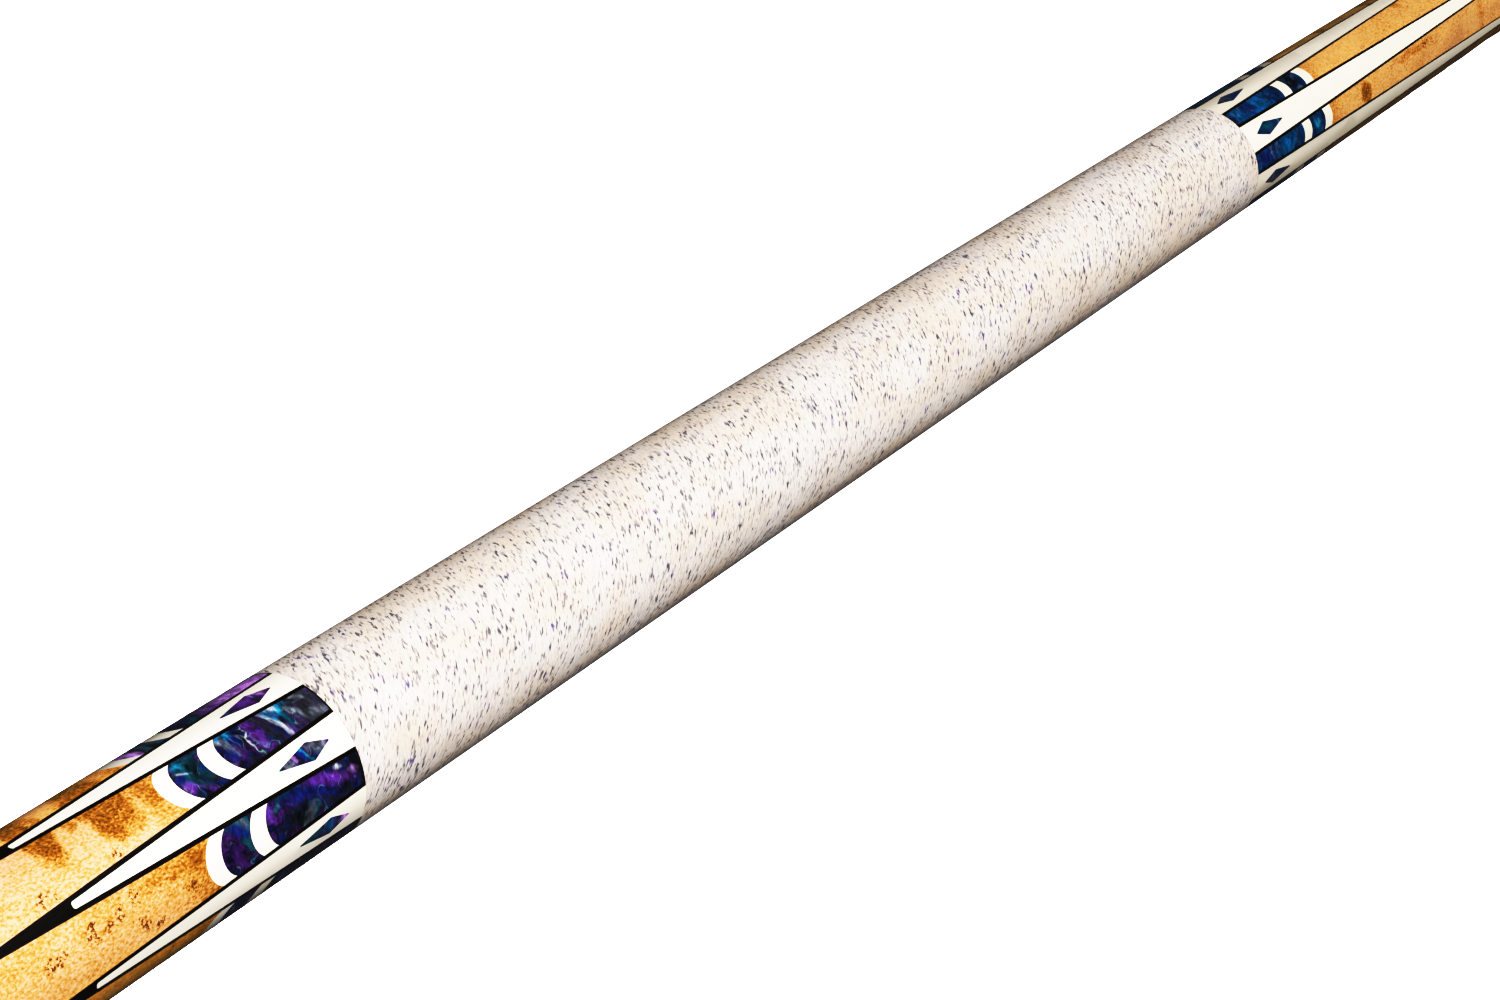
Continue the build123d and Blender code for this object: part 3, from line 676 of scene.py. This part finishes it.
# ---------------------------------------------------------------- meshes
def mesh_piece(name, points, faces, material, body, node):
    """A smooth-shaded piece that rides on its body and stands for its CAD node."""
    mesh = bpy.data.meshes.new(name)
    mesh.from_pydata(points, [], faces)
    mesh.materials.append(material)
    piece = bpy.data.objects.new(name, mesh)
    bpy.context.scene.collection.objects.link(piece)
    tidy = bmesh.new()
    tidy.from_mesh(mesh)
    bmesh.ops.remove_doubles(tidy, verts=tidy.verts, dist=SAME_PLACE)
    bmesh.ops.dissolve_degenerate(tidy, edges=tidy.edges, dist=SAME_PLACE)
    bmesh.ops.recalc_face_normals(tidy, faces=tidy.faces)
    tidy.to_mesh(mesh)
    tidy.free()
    mesh.shade_smooth()
    mesh.set_sharp_from_angle(angle=math.radians(SHARP_ANGLE))
    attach(piece, body)
    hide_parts(node)
    return piece


def around(x, radius, turn):
    """A point at that turn about the cue, from the -Y side up towards +Z."""
    return (x, -radius * math.cos(turn), radius * math.sin(turn))


def lathe(outline, segments=LATHE_SEGMENTS):
    """Points and faces of a closed outline of (x, radius) turned about X. Radius 0 closes an end."""
    points = [around(x, radius, TAU * j / segments) for x, radius in outline for j in range(segments)]
    faces = []
    for i in range(len(outline)):
        after = (i + 1) % len(outline)
        if outline[i][1] == 0 and outline[after][1] == 0:
            continue
        for j in range(segments):
            side = (j + 1) % segments
            faces.append(
                (i * segments + j, i * segments + side, after * segments + side, after * segments + j))
    return points, faces


def arc(centre, radius, start, end, steps):
    """Points (x, radius from the axis) on a circle, between two angles in degrees from +X."""
    turns = [math.radians(start + (end - start) * i / steps) for i in range(steps + 1)]
    return [(centre[0] + radius * math.cos(t), centre[1] + radius * math.sin(t)) for t in turns]


def wrap_radius(x):
    """Outer radius of the wrap's straight taper."""
    share = (x - REAR_EDGE) / (FRONT_EDGE - REAR_EDGE)
    return WRAP_HIGH.z + share * (FRONT_WRAP_RADIUS - WRAP_HIGH.z)


def front_radius(node):
    """Largest radius at a CAD node's front edge."""
    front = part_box(node)[1].x
    edge = [v.co for v in nodes[node].data.vertices if abs(v.co.x - front) < 0.01 * MM]
    return max(math.hypot(co.y, co.z) for co in edge)


def linen_thread(material):
    """The wrap as one wound thread: a helical groove between flat turns, cut square at both ends."""
    turns = math.ceil((FRONT_EDGE - REAR_EDGE) / THREAD_PITCH) + SPARE_TURNS
    rows = turns * THREAD_LANES
    points = []
    for i in range(rows + THREAD_LANES + 1):
        depth = THREAD_GROOVE if i % THREAD_LANES == 0 else 0.0
        for j in range(WRAP_SEGMENTS):
            x = REAR_EDGE + THREAD_PITCH * (i / THREAD_LANES - TURNS_BEHIND + j / WRAP_SEGMENTS)
            inside = REAR_EDGE < x < FRONT_EDGE
            x = min(max(x, REAR_EDGE), FRONT_EDGE)
            points.append(around(x, wrap_radius(x) - (depth if inside else 0.0), TAU * j / WRAP_SEGMENTS))
    faces = []
    for i in range(rows):
        for j in range(WRAP_SEGMENTS):
            here = i * WRAP_SEGMENTS + j
            last = j == WRAP_SEGMENTS - 1
            beside = (i + THREAD_LANES) * WRAP_SEGMENTS if last else here + 1
            faces.append((here, beside, beside + WRAP_SEGMENTS, here + WRAP_SEGMENTS))
    return mesh_piece("linen_thread", points, faces, material, "butt", "linen_wrap")


def rubber_foot(material):
    """Bumper: a rounded foot with a moulded ring groove and dimple, and a ribbed plug."""
    foot, end = BUMPER_LOW.x, BUMPER_HIGH.x
    radius = BUMPER_HIGH.z
    seat = CAP_LOW.x
    outline = [(foot + DIMPLE_DEPTH, 0.0)]
    outline += arc((foot + DIMPLE_DEPTH, 0.0), DIMPLE_DEPTH, 91, 130, 4)
    outline += [(foot + x, rim) for x, rim in DIMPLE_RIM]
    outline += arc((foot, RING_GROOVE_RADIUS), RING_GROOVE, -90, 90, 8)
    outline += [(foot, RING_LAND_RADIUS)]
    outline += arc((foot + FOOT_EDGE, radius - FOOT_EDGE), FOOT_EDGE, 180, 90, 12)
    outline += [(seat - SEAT_EDGE, radius)]
    outline += arc((seat - SEAT_EDGE, radius - SEAT_EDGE), SEAT_EDGE, 90, 0, 5)
    outline += [(seat, PLUG_RADIUS)]
    for groove in range(PLUG_GROOVES):
        start = seat + FIRST_GROOVE + GROOVE_SPACING * groove
        bottom, rise, top = (start + step for step in GROOVE_STEPS)
        outline += [(start, PLUG_RADIUS), (bottom, PLUG_RADIUS - GROOVE_DEPTH)]
        outline += [(rise, PLUG_RADIUS - GROOVE_DEPTH), (top, PLUG_RADIUS)]
    outline += [(end - PLUG_CHAMFER, PLUG_RADIUS), (end, PLUG_RADIUS - PLUG_CHAMFER), (end, 0.0)]
    points, faces = lathe(outline)
    return mesh_piece("rubber_foot", points, faces, material, "bumper", "bumper")


def leather_tip(material):
    """Tip: five pressed layers with fine seams under a dome."""
    seat, crown = TIP_LOW.x, TIP_HIGH.x
    radius = TIP_HIGH.z
    shoulder = crown - (TIP_BALL - math.sqrt(TIP_BALL**2 - radius**2))
    outline = [(seat, 0.0), (seat, radius)]
    for i in range(1, TIP_LAYERS):
        x = seat + (shoulder - seat) * i / TIP_LAYERS
        outline += [(x - SEAM_REACH, radius), (x, radius - SEAM_DEPTH), (x + SEAM_REACH, radius)]
    reach = math.degrees(math.asin(radius / TIP_BALL))
    outline += arc((crown - TIP_BALL, 0.0), TIP_BALL, reach, 0.5, 24)
    outline += [(crown, 0.0)]
    points, faces = lathe(outline)
    return mesh_piece("leather_tip", points, faces, material, "shaft", "tip")


def dress(material, *names):
    """Gives CAD nodes a material."""
    for name in names:
        mesh = nodes[name].data
        mesh.materials.clear()
        mesh.materials.append(material)


# ---------------------------------------------------------------- the cue
FRONT_WRAP_RADIUS = front_radius("linen_wrap")

linen_thread(linen())
rubber_foot(rubber())
leather_tip(tip_leather())

sleeve_burl = burl(
    "burl_sleeve", REAR_EDGE, -1, seed=0.0, bands=SLEEVE_BANDS, eyes=SLEEVE_EYES,
    streak=SLEEVE_STREAK, low_shade=0.08, stain=SLEEVE_STAIN)
forearm_burl = burl(
    "burl_forearm", FRONT_EDGE, 1, seed=340.0, bands=FOREARM_BANDS, eyes=FOREARM_EYES,
    streak=FOREARM_STREAK, low_shade=0.0, stain=FOREARM_STAIN)
dress(sleeve_burl, "butt_sleeve")
dress(forearm_burl, "forearm")

# White inlays: the side of the wrap, and the tone that multiplies their colour. The forearm's tone is painted
# shade: a darker, warmer copy of the same white.
WHITES = (
    ("sleeve", (1.0, 1.0, 1.0, 1.0)),
    ("forearm", (0.97, 0.95, 0.91, 1.0)),
)
for end, tone in WHITES:
    parts = [f"{end}_{part}" for part in ("white_spears", "inner_crescents", "outer_crescents")]
    dress(white_inlay(f"white_{end}", tone), *parts)
dress(black_inlay(), "sleeve_black_points", "forearm_black_points")

# Pearl: material, the wrap's edge and the way out from it, seed, share of blues, streaks and CAD nodes.
PEARLS = (
    ("pearl_sleeve", REAR_EDGE, -1, 0.0, 0.0, SLEEVE_STREAKS,
     ("sleeve_large_windows", "sleeve_small_windows")),
    ("pearl_forearm", FRONT_EDGE, 1, 5.0, 1.0, FOREARM_STREAKS,
     ("forearm_large_windows", "forearm_small_windows")),
    ("sleeve_diamond_pearl", REAR_EDGE, -1, 9.0, 0.0, SLEEVE_DIAMOND_STREAKS, ("sleeve_diamonds",)),
    ("forearm_diamond_pearl", FRONT_EDGE, 1, 7.0, 0.8, FOREARM_DIAMOND_STREAKS, ("forearm_diamonds",)),
    ("pearl_rings", FRONT_EDGE, 1, 3.0, 0.4, (),
     ("butt_ring_pearl", "joint_ring_pearl", "shaft_ring_pearl")),
)
for *looks, parts in PEARLS:
    dress(pearl(*looks), *parts)

silver = turned_metal("ring_silver", srgb(226, 226, 228), srgb(196, 196, 200), rough_low=0.12)
steel = turned_metal("steel", srgb(190, 190, 194), srgb(150, 150, 156), rough_low=0.2)
brass = turned_metal("brass", srgb(226, 190, 104), srgb(196, 152, 70), rough_low=0.18)
for owner in ("butt", "joint", "shaft"):
    dress(silver, f"{owner}_ring_rear", f"{owner}_ring_front")
dress(steel, "weight_bolt", "forearm_stud", "joint_pin")
dress(brass, "shaft_insert")
dress(phenolic(), "butt_cap", "joint_collar", "shaft_collar")
dress(maple("shaft_maple", srgb(246, 224, 184), srgb(228, 194, 144), rough_low=0.32), "shaft")
dress(maple("handle_maple", srgb(226, 192, 140), srgb(200, 158, 104), rough_low=0.5), "handle_core")
dress(ferrule_white(), "ferrule")
dress(fibre_pad(), "tip_pad")


# ---------------------------------------------------------------- floor, light and camera
def studio_floor():
    """A floor that touches the butt cap and the tip.

    It glows plain white, so no shadow shows on it, and it is hidden from the rays that light the cue.
    """
    rear = Vector((CAP_LOW.x, 0.0, -CAP_HIGH.z))
    front = Vector((TIP_LOW.x, 0.0, -TIP_HIGH.z))
    tilt = math.atan2(front.z - rear.z, front.x - rear.x)
    mesh = bpy.data.meshes.new("floor")
    middle = (rear + front) / 2
    level = middle.z - middle.x * math.tan(tilt)
    rise = FLOOR_REACH * math.tan(tilt)
    corners = [
        (along * FLOOR_REACH, aside * FLOOR_REACH, level + along * rise)
        for along, aside in ((-1, -1), (1, -1), (1, 1), (-1, 1))
    ]
    mesh.from_pydata(corners, [], [(0, 1, 2, 3)])
    floor = bpy.data.objects.new("floor", mesh)
    bpy.context.scene.collection.objects.link(floor)
    material = bpy.data.materials.new("floor_paper")
    material.use_nodes = True
    tree = material.node_tree
    shader = tree.nodes["Principled BSDF"]
    shader.inputs["Base Color"].default_value = (FLOOR_GREY, FLOOR_GREY, FLOOR_GREY, 1.0)
    shader.inputs["Roughness"].default_value = 1.0
    shader.inputs["Specular IOR Level"].default_value = 0.0
    shader.inputs["Emission Color"].default_value = (1.0, 1.0, 1.0, 1.0)
    shader.inputs["Emission Strength"].default_value = WHITE_STRENGTH
    mesh.materials.append(material)
    floor.visible_diffuse = False
    floor.visible_glossy = False
    floor.visible_shadow = False


def soft_light(name, turn, middle, length, power, glossy):
    """A softbox that faces the cue from a turn about it in degrees, with its long side along X."""
    light = bpy.data.lights.new(name, "AREA")
    light.shape = "RECTANGLE"
    light.size, light.size_y = length, LIGHT_WIDTH
    light.energy = power
    lamp = bpy.data.objects.new(name, light)
    bpy.context.scene.collection.objects.link(lamp)
    lamp.location = around(middle, LIGHT_DISTANCE, math.radians(turn))
    lamp.rotation_euler = (math.radians(90 - turn), 0.0, 0.0)
    lamp.visible_glossy = glossy


def studio_world():
    """Pale surroundings: white where the camera sees them, dimmer as light on the cue."""
    world = bpy.data.worlds.new("studio")
    bpy.context.scene.world = world
    world.use_nodes = True
    tree = world.node_tree
    background = tree.nodes["Background"]
    path = tree.nodes.new("ShaderNodeLightPath")
    strength = tree.nodes.new("ShaderNodeMix")  # sockets 2 and 3 are its two numbers
    tree.links.new(path.outputs["Is Camera Ray"], strength.inputs[0])
    strength.inputs[2].default_value = SURROUND
    strength.inputs[3].default_value = WHITE_STRENGTH
    tree.links.new(strength.outputs[0], background.inputs["Strength"])
    background.inputs["Color"].default_value = (1.0, 1.0, 1.0, 1.0)


def studio_camera():
    """The camera stands beside the bumper, above the cue, and looks along it past the wrap."""
    data = bpy.data.cameras.new("camera")
    data.sensor_width = SENSOR_WIDTH
    data.lens = LENS
    data.clip_start = NEAREST
    data.clip_end = FARTHEST
    camera = bpy.data.objects.new("camera", data)
    bpy.context.scene.collection.objects.link(camera)
    camera.location = CAMERA_PLACE
    camera.rotation_mode = "QUATERNION"
    look = (Vector(CAMERA_AIM) - Vector(CAMERA_PLACE)).to_track_quat("-Z", "Y")
    camera.rotation_quaternion = look @ Quaternion((0, 0, 1), math.radians(CAMERA_ROLL))
    bpy.context.scene.camera = camera


def film_curve():
    """Standard colour with a film's contrast: deeper shadows and a soft shoulder."""
    view = bpy.context.scene.view_settings
    view.view_transform = "Standard"
    view.use_curve_mapping = True
    mapping = view.curve_mapping
    mapping.clip_max_x = FILM_POINTS[-1][0]
    combined = mapping.curves[3]  # after red, green and blue
    combined.points[0].location = FILM_POINTS[0]
    combined.points[1].location = FILM_POINTS[-1]
    for point in FILM_POINTS[1:-1]:
        combined.points.new(*point)
    mapping.update()


studio_floor()
studio_world()
for softbox in SOFTBOXES:
    soft_light(*softbox)
studio_camera()
film_curve()
